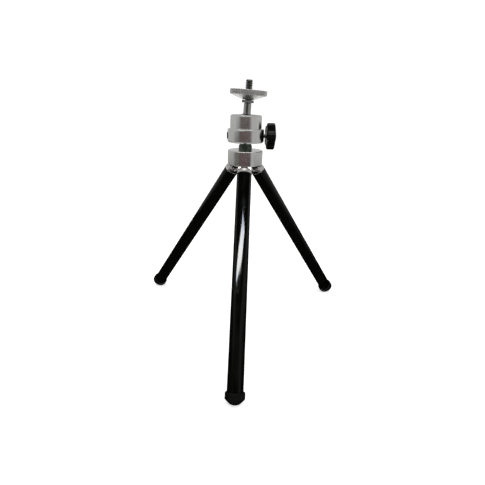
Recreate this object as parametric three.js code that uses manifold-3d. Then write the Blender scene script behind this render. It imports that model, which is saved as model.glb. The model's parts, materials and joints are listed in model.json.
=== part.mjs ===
// Mini tabletop tripod with a ball head: three folding tube legs on a turned hub,
// a short neck, a two-piece ball housing with a side locking knob, and a camera
// stud with a knurled locking disc. Millimetres, +Z up, front leg towards -Y.

import * as THREE from 'three';
import { mergeVertices } from 'three/addons/utils/BufferGeometryUtils.js';
import Module from 'manifold-3d';

// ---------------------------------------------------------------- driving dimensions

const DEGREE = Math.PI / 180;

// Heights are measured from the top face of the hub while the tripod is built.
const HUB_RADIUS = 15.6;
const HUB_HEIGHT = 12.5;
const HUB_CHAMFER = 0.6;

const NECK_RADIUS = 5.9;
const NECK_WAIST_RADIUS = 5.4;
const NECK_WAIST_BASE = 4.2;
const NECK_HEIGHT = 6.7;
const SPIGOT_RADIUS = 3;
const SPIGOT_LENGTH = 2.6;

const HOUSING_RADIUS = 16;
const HOUSING_TOP = 18.1;
const HOUSING_CHAMFER = 1.2;
const CAP_RADIUS = 13.7;
const CAP_TOP = 29.5;
const CAP_ROUND = 1.6;
const CAP_LIP_RADIUS = 7.6;
const CAP_MOUTH_RADIUS = 9.3;
const HOUSING_TOP_CHAMFER = 0.5;

const BALL_RADIUS = 10;
const BALL_CENTRE = 20.8;
const SOCKET_GAP = 0.3;
const STEM_RADIUS = 3.25;
const STEM_CHAMFER = 0.4;
const STEM_TILT = 3 * DEGREE;

// Distances along the stem, from the centre of the ball.
const STEM_TOP = 17.8;
const NUT_BASE = 18.1;
const NUT_HEIGHT = 2.25;
const NUT_ACROSS_FLATS = 10;
const DISC_BASE = 20.7;
const DISC_HEIGHT = 7.6;
const DISC_RIM_HEIGHT = 4;
const DISC_RADIUS = 15.7;
const DISC_FOOT_RADIUS = 4.85;
const DISC_EDGE = 0.35;
const STUD_TOP = 36.1;
const STUD_RADIUS = 3.175;
const STUD_PITCH = 1.27;
const THREAD_DEPTH = 0.7;
const THREAD_GAP = 0.25;

// The lock screw points a little away from the front leg.
const LOCK_HEIGHT = 12.2;
const LOCK_TURN = 6 * DEGREE;
const LOCK_SCREW_RADIUS = 2;
const LOCK_SCREW_TIP = 12.3;
const LOCK_SCREW_CHAMFER = 0.5;
const BRAKE_PLUG_POINT = 6;
const BRAKE_PLUG_SHOULDER = 8.05;
const KNOB_FACE = 18.2;
const KNOB_THICKNESS = 7.2;
const KNOB_RADIUS = 11.6;
const KNOB_VALLEY_RADIUS = 8.2;
const KNOB_LOBES = 5;
const KNOB_DOME = 1.1;
const KNOB_EDGE = 0.9;
const KNOB_DOME_SHARE = 0.93;
const KNOB_BORE_FLOOR = 1.7;

const LEG_COUNT = 3;
const LEG_NAMES = ['front', 'right', 'left'];
const LEG_FIRST_AZIMUTH = -90 * DEGREE;
const LEG_SPLAY = 35 * DEGREE;
const LEG_APEX_HEIGHT = 1.4;
const LEG_RADIUS = 6.45;
const LEG_WALL = 0.8;

// Distances down a leg, from the apex where the three leg axes meet.
const PIVOT_DROP = 14.2;
const DOME_DROP = 25.1;
const DOME_RADIUS = 6.65;
const DOME_HEIGHT = 6.2;
const FERRULE_END = 25.25;
const PLUG_SHOULDER = 23.3;
const TUBE_DROP = 25.5;
const TUBE_END = 206.6;
const PLUG_END = 46;
const FOOT_DROP = 202.6;
const FOOT_COLLAR_END = 207.5;
const FOOT_END = 211.7;
const FOOT_RADIUS = 7.85;
const FOOT_TIP_RADIUS = 4;
const FOOT_FLAT_DEPTH = 0.35;
const FOOT_EDGE = 0.7;
const FOOT_TIP_RISE = 0.15;

const TONGUE_WIDTH = 6;
const TONGUE_HALF_DEPTH = 3.3;
const PIN_RADIUS = 1.2;
const PIN_LENGTH = 13;
const PIN_GROOVE_GAP = 0.1;
const PIN_EYE_GAP = 0.15;
const HINGE_GAP = 0.4;
const FIT_GAP = 0.3;

const ROUND = 40;
const SMALL_ROUND = 20;

// ---------------------------------------------------------------- solids and booleans

const wasm = await Module();
wasm.setup();

function toManifold(geometry) {
  const bare = geometry.index ? geometry.toNonIndexed() : geometry.clone();
  bare.deleteAttribute('normal');
  bare.deleteAttribute('uv');
  const merged = mergeVertices(bare, 1e-4);
  const mesh = new wasm.Mesh({
    numProp: 3,
    vertProperties: new Float32Array(merged.attributes.position.array),
    triVerts: new Uint32Array(merged.index.array),
  });
  return new wasm.Manifold(mesh);
}

function toGeometry(manifold) {
  const mesh = manifold.getMesh();
  const geometry = new THREE.BufferGeometry();
  geometry.setAttribute('position', new THREE.BufferAttribute(mesh.vertProperties, 3));
  geometry.setIndex(new THREE.BufferAttribute(mesh.triVerts, 1));
  geometry.computeVertexNormals();
  return geometry;
}

function cut(body, tools) {
  let solid = toManifold(body);
  for (const tool of tools) {
    solid = solid.subtract(toManifold(tool));
  }
  return toGeometry(solid);
}

function join(first, second) {
  return toGeometry(toManifold(first).add(toManifold(second)));
}

// ---------------------------------------------------------------- shape helpers

// A solid of revolution about Z from [radius, height] pairs.
function turned(profile, segments = ROUND) {
  const points = profile.map(([radius, height]) => new THREE.Vector2(radius, height));
  const geometry = new THREE.LatheGeometry(points, segments);
  geometry.rotateX(Math.PI / 2);
  return geometry;
}

// A turned ring whose profile closes on itself.
function turnedRing(profile, segments = ROUND) {
  return turned([...profile, profile[0]], segments);
}

// A plain round bar about Z between two heights.
function bar(radius, low, high, segments = SMALL_ROUND) {
  return turned([[0, low], [radius, low], [radius, high], [0, high]], segments);
}

// Points on an arc in the radius-height plane, angles counted from the +radius axis.
function arc(centreRadius, centreHeight, radius, from, to, steps) {
  const points = [];
  for (let i = 0; i <= steps; i += 1) {
    const angle = from + (to - from) * i / steps;
    points.push([centreRadius + radius * Math.cos(angle), centreHeight + radius * Math.sin(angle)]);
  }
  return points;
}

// Lays a solid built along Z on the axis of the lock screw, pointing outward.
function alongLock(geometry) {
  geometry.rotateY(Math.PI / 2);
  geometry.rotateZ(LOCK_TURN);
  geometry.translate(0, 0, LOCK_HEIGHT);
  return geometry;
}

function azimuthOf(index) {
  return LEG_FIRST_AZIMUTH + index * 2 * Math.PI / LEG_COUNT;
}

// ---------------------------------------------------------------- hub and neck

const PIVOT_RADIUS = PIVOT_DROP * Math.sin(LEG_SPLAY);
const PIVOT_HEIGHT = LEG_APEX_HEIGHT - PIVOT_DROP * Math.cos(LEG_SPLAY);
const POCKET_OUTER = 14.3;
const CENTRE_BORE_RADIUS = 2.3;
const COUNTERBORE_RADIUS = 3.4;
const SCREW_HEAD_HEIGHT = 3;
const SCREW_HEAD_RADIUS = 2.9;
const SCREW_HEAD_BASE = -HUB_HEIGHT + 0.3;
const SCREW_SHANK_RADIUS = 1.9;
const SCREW_TOP = 5;
const SCREW_CHAMFER = 0.4;
const SCREW_SLOT_WIDTH = 0.9;
const SCREW_SLOT_DEPTH = 1;

// A pocket in the underside of the hub, for one leg's hinge tongue.
function tonguePocket(azimuth) {
  const inner = PIVOT_RADIUS - TONGUE_HALF_DEPTH - HINGE_GAP;
  const roof = PIVOT_HEIGHT + TONGUE_HALF_DEPTH + HINGE_GAP;
  const floor = -HUB_HEIGHT - 1;
  const pocket = new THREE.BoxGeometry(
    POCKET_OUTER - inner, TONGUE_WIDTH + 2 * HINGE_GAP, roof - floor);
  pocket.translate((POCKET_OUTER + inner) / 2, 0, (roof + floor) / 2);
  pocket.rotateZ(azimuth);
  return pocket;
}

// The open groove in the underside that a hinge pin is pressed into.
function pinGroove(azimuth) {
  const half = PIN_RADIUS + PIN_GROOVE_GAP;
  const roof = PIVOT_HEIGHT + half;
  const floor = -HUB_HEIGHT - 1;
  const groove = new THREE.BoxGeometry(2 * half, PIN_LENGTH + HINGE_GAP, roof - floor);
  groove.translate(PIVOT_RADIUS, 0, (roof + floor) / 2);
  groove.rotateZ(azimuth);
  return groove;
}

function hubBody() {
  const outline = turned([
    [0, -HUB_HEIGHT],
    [HUB_RADIUS - HUB_CHAMFER, -HUB_HEIGHT],
    [HUB_RADIUS, -HUB_HEIGHT + HUB_CHAMFER],
    [HUB_RADIUS, -HUB_CHAMFER],
    [HUB_RADIUS - HUB_CHAMFER, 0],
    [0, 0],
  ], 48);
  const counterboreTop = SCREW_HEAD_BASE + SCREW_HEAD_HEIGHT + FIT_GAP;
  const tools = [
    bar(CENTRE_BORE_RADIUS, -HUB_HEIGHT - 1, 1),
    bar(COUNTERBORE_RADIUS, -HUB_HEIGHT - 1, counterboreTop),
  ];
  for (let i = 0; i < LEG_COUNT; i += 1) {
    tools.push(tonguePocket(azimuthOf(i)));
    tools.push(pinGroove(azimuthOf(i)));
  }
  return cut(outline, tools);
}

function hingePin(azimuth) {
  const pin = bar(PIN_RADIUS, -PIN_LENGTH / 2, PIN_LENGTH / 2, 16);
  pin.rotateX(Math.PI / 2);
  pin.translate(PIVOT_RADIUS, 0, PIVOT_HEIGHT);
  pin.rotateZ(azimuth);
  return pin;
}

// A cheese-head screw from below, up through the hub into the neck.
function hubScrew() {
  const headTop = SCREW_HEAD_BASE + SCREW_HEAD_HEIGHT;
  const screw = turned([
    [0, SCREW_HEAD_BASE],
    [SCREW_HEAD_RADIUS, SCREW_HEAD_BASE],
    [SCREW_HEAD_RADIUS, headTop],
    [SCREW_SHANK_RADIUS, headTop],
    [SCREW_SHANK_RADIUS, SCREW_TOP - SCREW_CHAMFER],
    [SCREW_SHANK_RADIUS - SCREW_CHAMFER, SCREW_TOP],
    [0, SCREW_TOP],
  ], SMALL_ROUND);
  const slot = new THREE.BoxGeometry(3 * SCREW_HEAD_RADIUS, SCREW_SLOT_WIDTH, 2 * SCREW_SLOT_DEPTH);
  slot.translate(0, 0, SCREW_HEAD_BASE);
  return cut(screw, [slot]);
}

// A post with a waist, a tapped hole below and a spigot that the ball housing sits on.
function neck() {
  const holeRadius = SCREW_SHANK_RADIUS + FIT_GAP;
  const holeTop = SCREW_TOP + 2 * FIT_GAP;
  const spigotTop = NECK_HEIGHT + SPIGOT_LENGTH;
  return turned([
    [0, holeTop],
    [holeRadius, holeTop],
    [holeRadius, 0],
    [NECK_RADIUS, 0],
    [NECK_RADIUS, NECK_WAIST_BASE - (NECK_RADIUS - NECK_WAIST_RADIUS)],
    [NECK_WAIST_RADIUS, NECK_WAIST_BASE],
    [NECK_WAIST_RADIUS, NECK_HEIGHT],
    [SPIGOT_RADIUS, NECK_HEIGHT],
    [SPIGOT_RADIUS, spigotTop],
    [0, spigotTop],
  ], 32);
}

// ---------------------------------------------------------------- ball housing

const CAVITY_FLOOR = 10;
const CAVITY_RADIUS = 10.8;
const CAVITY_SHOULDER = 14.4;
const SEAT_BASE = 14.6;
const SEAT_TOP = 17.9;
const SEAT_GAP = 0.2;
const CAVITY_FLOOR_RADIUS = 6;
const CROSS_PLUG_RADIUS = 2.7;
const CROSS_PLUG_FACE = -14.9;
const CROSS_PLUG_END = -11.3;
const CROSS_PLUG_SOCKET_RADIUS = 1.5;
const CROSS_PLUG_SOCKET_DEPTH = 1.5;

function ballHousing() {
  const spigotBore = SPIGOT_RADIUS + FIT_GAP;
  const shell = turned([
    [spigotBore, NECK_HEIGHT],
    [HOUSING_RADIUS - HOUSING_CHAMFER, NECK_HEIGHT],
    [HOUSING_RADIUS, NECK_HEIGHT + HOUSING_CHAMFER],
    [HOUSING_RADIUS, HOUSING_TOP - HOUSING_TOP_CHAMFER],
    [HOUSING_RADIUS - HOUSING_TOP_CHAMFER, HOUSING_TOP],
    [CAVITY_RADIUS, HOUSING_TOP],
    [CAVITY_RADIUS, CAVITY_SHOULDER],
    [CAVITY_FLOOR_RADIUS, CAVITY_FLOOR],
    [spigotBore, CAVITY_FLOOR],
    [spigotBore, NECK_HEIGHT],
  ], 48);
  const inside = SPIGOT_RADIUS + 1;
  const outside = HOUSING_RADIUS + 1;
  const screwHole = alongLock(bar(LOCK_SCREW_RADIUS + FIT_GAP, inside, outside));
  const plugHole = alongLock(bar(CROSS_PLUG_RADIUS + FIT_GAP, -outside, -inside));
  return cut(shell, [screwHole, plugHole]);
}

function housingCap() {
  const socket = BALL_RADIUS + SOCKET_GAP;
  const lipAngle = Math.acos(CAP_LIP_RADIUS / socket);
  return turnedRing([
    [socket + 0.1, HOUSING_TOP],
    [CAP_RADIUS, HOUSING_TOP],
    ...arc(CAP_RADIUS - CAP_ROUND, CAP_TOP - CAP_ROUND, CAP_ROUND, 0, Math.PI / 2, 3),
    [CAP_MOUTH_RADIUS, CAP_TOP],
    ...arc(0, BALL_CENTRE, socket, lipAngle, 0, 5),
  ], 48);
}

// Nylon ring that the ball rests on.
function ballSeat() {
  const socket = BALL_RADIUS + SOCKET_GAP;
  const lowAngle = Math.asin((SEAT_BASE - BALL_CENTRE) / socket);
  const highAngle = Math.asin((SEAT_TOP - BALL_CENTRE) / socket);
  return turnedRing([
    [CAVITY_RADIUS - SEAT_GAP, SEAT_BASE],
    [CAVITY_RADIUS - SEAT_GAP, SEAT_TOP],
    ...arc(0, BALL_CENTRE, socket, highAngle, lowAngle, 3),
  ]);
}

// Grub screw that closes the housing's second cross hole.
function crossPlug() {
  const plug = bar(CROSS_PLUG_RADIUS, CROSS_PLUG_FACE, CROSS_PLUG_END);
  const socketEnd = CROSS_PLUG_FACE + CROSS_PLUG_SOCKET_DEPTH;
  const socket = bar(CROSS_PLUG_SOCKET_RADIUS, CROSS_PLUG_FACE - 1, socketEnd, 6);
  return alongLock(cut(plug, [socket]));
}

// ---------------------------------------------------------------- lock screw and knob

function lockScrew() {
  const end = KNOB_FACE + KNOB_THICKNESS - KNOB_BORE_FLOOR - FIT_GAP;
  const screw = turned([
    [0, LOCK_SCREW_TIP],
    [LOCK_SCREW_RADIUS - LOCK_SCREW_CHAMFER, LOCK_SCREW_TIP],
    [LOCK_SCREW_RADIUS, LOCK_SCREW_TIP + LOCK_SCREW_CHAMFER],
    [LOCK_SCREW_RADIUS, end],
    [0, end],
  ], SMALL_ROUND);
  return alongLock(screw);
}

// Nylon point between the screw and the ball.
function brakePlug() {
  const plug = turned([
    [0, BRAKE_PLUG_POINT],
    [LOCK_SCREW_RADIUS, BRAKE_PLUG_SHOULDER],
    [LOCK_SCREW_RADIUS, LOCK_SCREW_TIP - FIT_GAP],
    [0, LOCK_SCREW_TIP - FIT_GAP],
  ], SMALL_ROUND);
  return alongLock(plug);
}

// Outline of the knob: round lobes with hollow valleys between them.
function knobOutline() {
  const mean = (KNOB_RADIUS + KNOB_VALLEY_RADIUS) / 2;
  const swing = (KNOB_RADIUS - KNOB_VALLEY_RADIUS) / 2;
  const steps = KNOB_LOBES * 14;
  const shape = new THREE.Shape();
  for (let i = 0; i < steps; i += 1) {
    const angle = 2 * Math.PI * i / steps;
    const wave = Math.cos(KNOB_LOBES * angle);
    const radius = mean + swing * Math.sign(wave) * Math.sqrt(Math.abs(wave));
    const x = radius * Math.cos(angle);
    const y = radius * Math.sin(angle);
    if (i === 0) {
      shape.moveTo(x, y);
    } else {
      shape.lineTo(x, y);
    }
  }
  shape.closePath();
  return shape;
}

function lockKnob() {
  const prism = new THREE.ExtrudeGeometry(knobOutline(), {
    depth: KNOB_THICKNESS + KNOB_DOME,
    bevelEnabled: false,
  });
  const domeRadius = (KNOB_RADIUS ** 2 + KNOB_DOME ** 2) / (2 * KNOB_DOME);
  const domeAngle = Math.asin(KNOB_RADIUS / domeRadius);
  const top = KNOB_THICKNESS + KNOB_DOME;
  const envelope = turned([
    [0, 0],
    [KNOB_RADIUS - KNOB_EDGE, 0],
    [KNOB_RADIUS, KNOB_EDGE],
    [KNOB_RADIUS, KNOB_THICKNESS - KNOB_EDGE],
    ...arc(0, top - domeRadius, domeRadius, Math.PI / 2 - domeAngle * KNOB_DOME_SHARE, Math.PI / 2, 4),
  ]);
  const domed = toManifold(prism).intersect(toManifold(envelope));
  const bore = bar(LOCK_SCREW_RADIUS + FIT_GAP, -1, KNOB_THICKNESS - KNOB_BORE_FLOOR);
  const knob = toGeometry(domed.subtract(toManifold(bore)));
  knob.rotateZ(-Math.PI / 2);
  knob.translate(0, 0, KNOB_FACE);
  return alongLock(knob);
}

// ---------------------------------------------------------------- ball, stem and camera screw

function ball() {
  return turned(arc(0, 0, BALL_RADIUS, -Math.PI / 2, Math.PI / 2, 16), 32);
}

function ballStem() {
  const foot = BALL_RADIUS + SOCKET_GAP;
  const footAngle = Math.acos(STEM_RADIUS / foot);
  return turned([
    ...arc(0, 0, foot, Math.PI / 2, footAngle, 3),
    [STEM_RADIUS, STEM_TOP - STEM_CHAMFER],
    [STEM_RADIUS - STEM_CHAMFER, STEM_TOP],
    [0, STEM_TOP],
  ], 24);
}

// The 1/4 inch camera screw. Its thread is ring grooves above the disc.
function cameraStud() {
  const threadBase = DISC_BASE + DISC_HEIGHT;
  const turns = Math.floor((STUD_TOP - THREAD_DEPTH - threadBase) / STUD_PITCH);
  const profile = [[0, STEM_TOP + FIT_GAP], [STUD_RADIUS, STEM_TOP + FIT_GAP]];
  for (let i = 0; i < turns; i += 1) {
    const base = threadBase + i * STUD_PITCH;
    profile.push([STUD_RADIUS, base]);
    profile.push([STUD_RADIUS - THREAD_DEPTH, base + STUD_PITCH / 2]);
  }
  profile.push([STUD_RADIUS, threadBase + turns * STUD_PITCH]);
  profile.push([STUD_RADIUS - THREAD_DEPTH, STUD_TOP]);
  profile.push([0, STUD_TOP]);
  return turned(profile, 24);
}

function jamNut() {
  const radius = NUT_ACROSS_FLATS / Math.sqrt(3);
  const hexagon = new THREE.CylinderGeometry(radius, radius, NUT_HEIGHT, 6);
  hexagon.rotateX(Math.PI / 2);
  hexagon.translate(0, 0, NUT_BASE + NUT_HEIGHT / 2);
  const bore = bar(STUD_RADIUS + THREAD_GAP, NUT_BASE - 1, NUT_BASE + NUT_HEIGHT + 1);
  return cut(hexagon, [bore]);
}

function lockingDisc() {
  const top = DISC_BASE + DISC_HEIGHT;
  const rimBase = top - DISC_RIM_HEIGHT;
  const bore = STUD_RADIUS + THREAD_GAP;
  return turnedRing([
    [bore, DISC_BASE],
    [DISC_FOOT_RADIUS, DISC_BASE],
    [DISC_RADIUS - DISC_EDGE, rimBase],
    [DISC_RADIUS, rimBase + DISC_EDGE],
    [DISC_RADIUS, top - DISC_EDGE],
    [DISC_RADIUS - DISC_EDGE, top],
    [bore, top],
  ], 48);
}

// ---------------------------------------------------------------- legs, built down -Z from the apex

function legTube() {
  return turnedRing([
    [LEG_RADIUS - LEG_WALL, -TUBE_END],
    [LEG_RADIUS, -TUBE_END],
    [LEG_RADIUS, -TUBE_DROP],
    [LEG_RADIUS - LEG_WALL, -TUBE_DROP],
  ], 32);
}

// Domed cap on the top of the tube, slotted for the tongue and hollow below for its plug.
function legFerrule() {
  const inner = LEG_RADIUS - LEG_WALL;
  const roof = -PLUG_SHOULDER + FIT_GAP;
  const dome = arc(0, 0, 1, 0, Math.PI / 2, 8).map(([across, up]) => [
    DOME_RADIUS * across,
    DOME_HEIGHT * up - DOME_DROP,
  ]);
  const cap = turned([
    [0, roof],
    [inner, roof],
    [inner, -FERRULE_END],
    [DOME_RADIUS, -FERRULE_END],
    ...dome,
  ], 32);
  const slot = new THREE.BoxGeometry(
    2 * (TONGUE_HALF_DEPTH + FIT_GAP), TONGUE_WIDTH + 2 * FIT_GAP, DOME_HEIGHT + 2);
  slot.translate(0, 0, roof + DOME_HEIGHT / 2);
  return cut(cap, [slot]);
}

// Plug in the top of the tube with a flat tongue and the eye for the hinge pin.
function legTongue() {
  const shoulder = -PLUG_SHOULDER;
  const plug = bar(LEG_RADIUS - LEG_WALL - FIT_GAP, -PLUG_END, shoulder, 28);
  const outline = new THREE.Shape();
  outline.moveTo(-TONGUE_HALF_DEPTH, shoulder - 2);
  outline.lineTo(TONGUE_HALF_DEPTH, shoulder - 2);
  outline.lineTo(TONGUE_HALF_DEPTH, -PIVOT_DROP);
  outline.absarc(0, -PIVOT_DROP, TONGUE_HALF_DEPTH, 0, Math.PI, false);
  const eye = new THREE.Path();
  eye.absarc(0, -PIVOT_DROP, PIN_RADIUS + PIN_EYE_GAP, 0, 2 * Math.PI, true);
  outline.holes.push(eye);
  const tongue = new THREE.ExtrudeGeometry(outline, {
    depth: TONGUE_WIDTH,
    bevelEnabled: false,
    curveSegments: 10,
  });
  tongue.translate(0, 0, -TONGUE_WIDTH / 2);
  tongue.rotateX(Math.PI / 2);
  return join(plug, tongue);
}

// Depth of the floor below the apex: the lowest rim of a foot, less its pressed-flat patch.
const FOOT_TIP_EDGE = FOOT_END - FOOT_EDGE;
const FLOOR_DEPTH = FOOT_TIP_EDGE * Math.cos(LEG_SPLAY) + FOOT_TIP_RADIUS * Math.sin(LEG_SPLAY)
  - FOOT_FLAT_DEPTH;

const GROUND_SIZE = 500;

// Rubber cap on the end of a tube, pressed flat where it stands.
function foot() {
  const bore = LEG_RADIUS + FIT_GAP;
  const cap = turned([
    [0, -FOOT_END],
    [FOOT_TIP_RADIUS * 0.6, -FOOT_END + FOOT_TIP_RISE],
    [FOOT_TIP_RADIUS, -FOOT_TIP_EDGE],
    [FOOT_RADIUS, -FOOT_COLLAR_END],
    [FOOT_RADIUS, -FOOT_DROP - FOOT_EDGE],
    [FOOT_RADIUS - FOOT_EDGE, -FOOT_DROP],
    [bore, -FOOT_DROP],
    [bore, -TUBE_END - FIT_GAP],
    [0, -TUBE_END - FIT_GAP],
  ], 32);
  const ground = new THREE.BoxGeometry(GROUND_SIZE, GROUND_SIZE, GROUND_SIZE);
  ground.translate(0, 0, -FLOOR_DEPTH - GROUND_SIZE / 2);
  ground.rotateY(LEG_SPLAY);
  return cut(cap, [ground]);
}

// ---------------------------------------------------------------- materials

function finish(color, roughness, metalness) {
  return new THREE.MeshStandardMaterial({ color, roughness, metalness });
}

const turnedAluminium = finish(0xb4b4b0, 0.28, 1);
const chromedSteel = finish(0x8d9490, 0.12, 1);
const zincSteel = finish(0x6e6f6c, 0.4, 1);
const polishedSteel = finish(0xbababa, 0.2, 1);
const glossBlack = finish(0x0a0a0b, 0.15, 0);
const blackPlastic = finish(0x121212, 0.45, 0);
const blackRubber = finish(0x171817, 0.8, 0);
const whiteNylon = finish(0xe4e2da, 0.5, 0);

// ---------------------------------------------------------------- assembly

function piece(name, geometry, material) {
  const mesh = new THREE.Mesh(geometry, material);
  mesh.name = name;
  return mesh;
}

function hubGroup() {
  const group = new THREE.Group();
  group.add(piece('hub_body', hubBody(), turnedAluminium));
  group.add(piece('hub_screw', hubScrew(), zincSteel));
  group.add(piece('neck', neck(), chromedSteel));
  LEG_NAMES.forEach((name, index) => {
    group.add(piece(`hinge_pin_${name}`, hingePin(azimuthOf(index)), zincSteel));
  });
  return group;
}

function housingGroup() {
  const group = new THREE.Group();
  group.add(piece('ball_housing', ballHousing(), turnedAluminium));
  group.add(piece('housing_cap', housingCap(), turnedAluminium));
  group.add(piece('ball_seat', ballSeat(), whiteNylon));
  group.add(piece('cross_plug', crossPlug(), zincSteel));
  group.add(piece('brake_plug', brakePlug(), whiteNylon));
  group.add(piece('lock_screw', lockScrew(), polishedSteel));
  group.add(piece('lock_knob', lockKnob(), blackPlastic));
  return group;
}

function stemGroup() {
  const group = new THREE.Group();
  group.add(piece('ball', ball(), polishedSteel));
  group.add(piece('ball_stem', ballStem(), polishedSteel));
  group.add(piece('camera_stud', cameraStud(), zincSteel));
  group.add(piece('jam_nut', jamNut(), polishedSteel));
  group.add(piece('locking_disc', lockingDisc(), turnedAluminium));
  group.position.z = BALL_CENTRE;
  group.rotation.y = STEM_TILT;
  return group;
}

function legGroup(name, azimuth) {
  const leg = new THREE.Group();
  leg.add(piece(`leg_tongue_${name}`, legTongue(), blackPlastic));
  leg.add(piece(`leg_ferrule_${name}`, legFerrule(), chromedSteel));
  leg.add(piece(`leg_tube_${name}`, legTube(), glossBlack));
  leg.add(piece(`foot_${name}`, foot(), blackRubber));
  leg.position.z = LEG_APEX_HEIGHT;
  leg.rotation.y = -LEG_SPLAY;
  const arm = new THREE.Group();
  arm.add(leg);
  arm.rotation.z = azimuth;
  return arm;
}

const tripod = new THREE.Group();
tripod.add(hubGroup());
tripod.add(housingGroup());
tripod.add(stemGroup());
LEG_NAMES.forEach((name, index) => {
  tripod.add(legGroup(name, azimuthOf(index)));
});

// The origin is on the floor, under the middle of the whole tripod's outline.
tripod.updateMatrixWorld(true);
const outlineBox = new THREE.Box3().setFromObject(tripod, true);
const middle = outlineBox.getCenter(new THREE.Vector3());
tripod.position.set(-middle.x, -middle.y, -outlineBox.min.z);

export default tripod;
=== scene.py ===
"""A mini tabletop tripod with a ball head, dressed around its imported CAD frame."""

import json
import math

import bmesh
import bpy
from mathutils import Matrix, Vector


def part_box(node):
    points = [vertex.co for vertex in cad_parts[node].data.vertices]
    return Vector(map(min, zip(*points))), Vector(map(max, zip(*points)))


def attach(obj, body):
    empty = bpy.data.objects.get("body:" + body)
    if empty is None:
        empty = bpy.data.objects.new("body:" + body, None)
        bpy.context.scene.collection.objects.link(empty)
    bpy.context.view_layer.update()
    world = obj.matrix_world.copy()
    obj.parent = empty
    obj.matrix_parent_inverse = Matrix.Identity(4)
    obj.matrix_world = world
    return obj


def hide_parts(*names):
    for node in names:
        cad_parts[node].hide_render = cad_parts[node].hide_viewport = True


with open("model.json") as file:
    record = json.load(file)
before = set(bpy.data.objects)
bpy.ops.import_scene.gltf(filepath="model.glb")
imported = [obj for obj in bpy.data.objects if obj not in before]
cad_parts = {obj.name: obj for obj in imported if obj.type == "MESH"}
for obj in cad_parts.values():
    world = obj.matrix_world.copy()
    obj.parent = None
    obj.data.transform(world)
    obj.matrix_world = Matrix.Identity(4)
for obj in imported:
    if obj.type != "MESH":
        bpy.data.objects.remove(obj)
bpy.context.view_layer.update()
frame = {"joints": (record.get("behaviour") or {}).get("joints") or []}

# ------------------------------------------------------------------ places and sizes

MM = 0.001
INCH = 25.4

joints = {joint["name"]: joint for joint in frame["joints"]}
hub_low, hub_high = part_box("hub_body")
housing_low, housing_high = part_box("ball_housing")
cap_low, cap_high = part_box("housing_cap")
neck_low, neck_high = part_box("neck")

# Places, in metres.
HUB_CENTRE = (hub_low + hub_high) / 2
HUB_TOP = hub_high.z
BALL_CENTRE = Vector(joints["ball_tilt"]["pos_m"])
STEM_AXIS = Vector(joints["ball_pan"]["axis"])
LOCK_SPOT = Vector(joints["knob_turn"]["pos_m"])

# Sizes in millimetres, and heights in millimetres above the hub's top.
HUB_RADIUS = (hub_high.x - hub_low.x) / 2 / MM
HUB_HEIGHT = (hub_high.z - hub_low.z) / MM
HOUSING_RADIUS = (housing_high.x - housing_low.x) / 2 / MM
HOUSING_BASE = (housing_low.z - HUB_TOP) / MM
HOUSING_TOP = (housing_high.z - HUB_TOP) / MM
CAP_RADIUS = (cap_high.x - cap_low.x) / 2 / MM
CAP_TOP = (cap_high.z - HUB_TOP) / MM
NECK_RADIUS = (neck_high.x - neck_low.x) / 2 / MM
BALL_HEIGHT = (BALL_CENTRE.z - HUB_TOP) / MM
BALL_RADIUS = 10.0

LEG_NAMES = ("front", "right", "left")
LEG_SPLAY = math.radians(35)
LEG_RADIUS = 6.45

# ------------------------------------------------------------------ camera

CAMERA_DISTANCE = 312.5 * MM
CAMERA_ABOVE_HUB = 39.0 * MM
CAMERA_AZIMUTH = math.radians(1.11)
CAMERA_PITCH = math.radians(22.32)
CAMERA_ROLL = math.radians(1.7)
CAMERA_LENS = 25.28
SENSOR_WIDTH = 36


def add_camera():
    camera = bpy.data.objects.new("camera", bpy.data.cameras.new("camera"))
    bpy.context.scene.collection.objects.link(camera)
    camera.data.lens = CAMERA_LENS
    camera.data.sensor_width = SENSOR_WIDTH
    camera.data.clip_start = 0.01
    camera.data.clip_end = 50
    turn = Matrix.Rotation(CAMERA_AZIMUTH, 4, "Z")
    place = turn @ Vector((0, -CAMERA_DISTANCE, 0))
    place += Vector((HUB_CENTRE.x, HUB_CENTRE.y, HUB_TOP + CAMERA_ABOVE_HUB))
    tip = Matrix.Rotation(math.pi / 2 - CAMERA_PITCH, 4, "X")
    roll = Matrix.Rotation(CAMERA_ROLL, 4, "Z")
    camera.matrix_world = Matrix.Translation(place) @ turn @ tip @ roll
    bpy.context.scene.camera = camera


add_camera()

# ------------------------------------------------------------------ mesh helpers


def new_object(name, mesh_builder, matrix=None):
    """Makes an object from a bmesh and puts it at a matrix."""
    mesh = bpy.data.meshes.new(name)
    bmesh.ops.recalc_face_normals(mesh_builder, faces=mesh_builder.faces)
    if matrix is not None:
        mesh_builder.transform(matrix)
    mesh_builder.to_mesh(mesh)
    mesh_builder.free()
    piece = bpy.data.objects.new(name, mesh)
    bpy.context.scene.collection.objects.link(piece)
    return piece


def smooth(piece):
    """Smooth shading that stays crisp across edges sharper than 30 degrees."""
    mesh = piece.data
    mesh.shade_smooth()
    mesh.set_sharp_from_angle(angle=math.radians(30))
    weighted = piece.modifiers.new("weighted", "WEIGHTED_NORMAL")
    weighted.keep_sharp = True


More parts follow.
